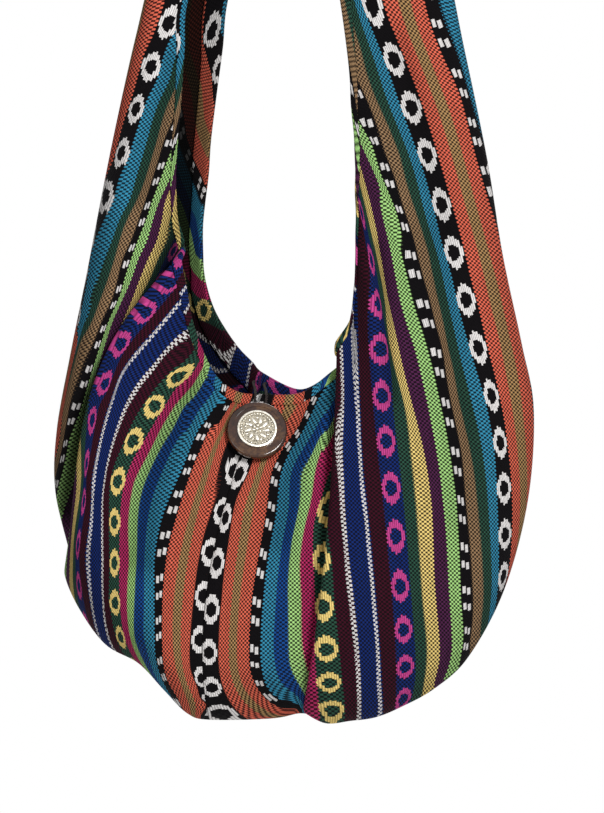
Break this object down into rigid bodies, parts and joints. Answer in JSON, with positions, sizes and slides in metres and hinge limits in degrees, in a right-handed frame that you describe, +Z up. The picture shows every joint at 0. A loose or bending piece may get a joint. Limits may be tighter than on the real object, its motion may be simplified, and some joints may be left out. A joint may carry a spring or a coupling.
{
  "type": "striped hobo shoulder bag",
  "caption": "Slouchy shoulder bag of striped woven cotton, hung by its own wide strap, with a folded body, a bound mouth and a large button closed by a cord loop.",
  "frame": {"origin": "where the strap hangs: the inside of the strap's top fold", "axes": "+Z up along the hanging bag, -Y towards the viewer on the side with the button, +X to the viewer's right"},
  "size_m": [0.4028, 0.1582, 0.8398],
  "materials": {
    "woven_cloth": "warp-striped hand-woven cotton with floated rings, dull",
    "binding_cloth": "the same striped cotton, folded over the edge and stitched",
    "cord": "dark waxed cotton cord",
    "button_shell": "polished dark shell, glossy",
    "medallion_metal": "aged silver-coloured cast metal with a dark patina in its hollows"
  },
  "bodies": {
    "root": {"right_panel": "woven_cloth", "left_panel": "woven_cloth", "front_binding": "binding_cloth", "back_hem": "binding_cloth", "closing_loop": "cord", "thread_shank": "cord", "button": "button_shell", "medallion": "medallion_metal"}
  },
  "joints": []
}
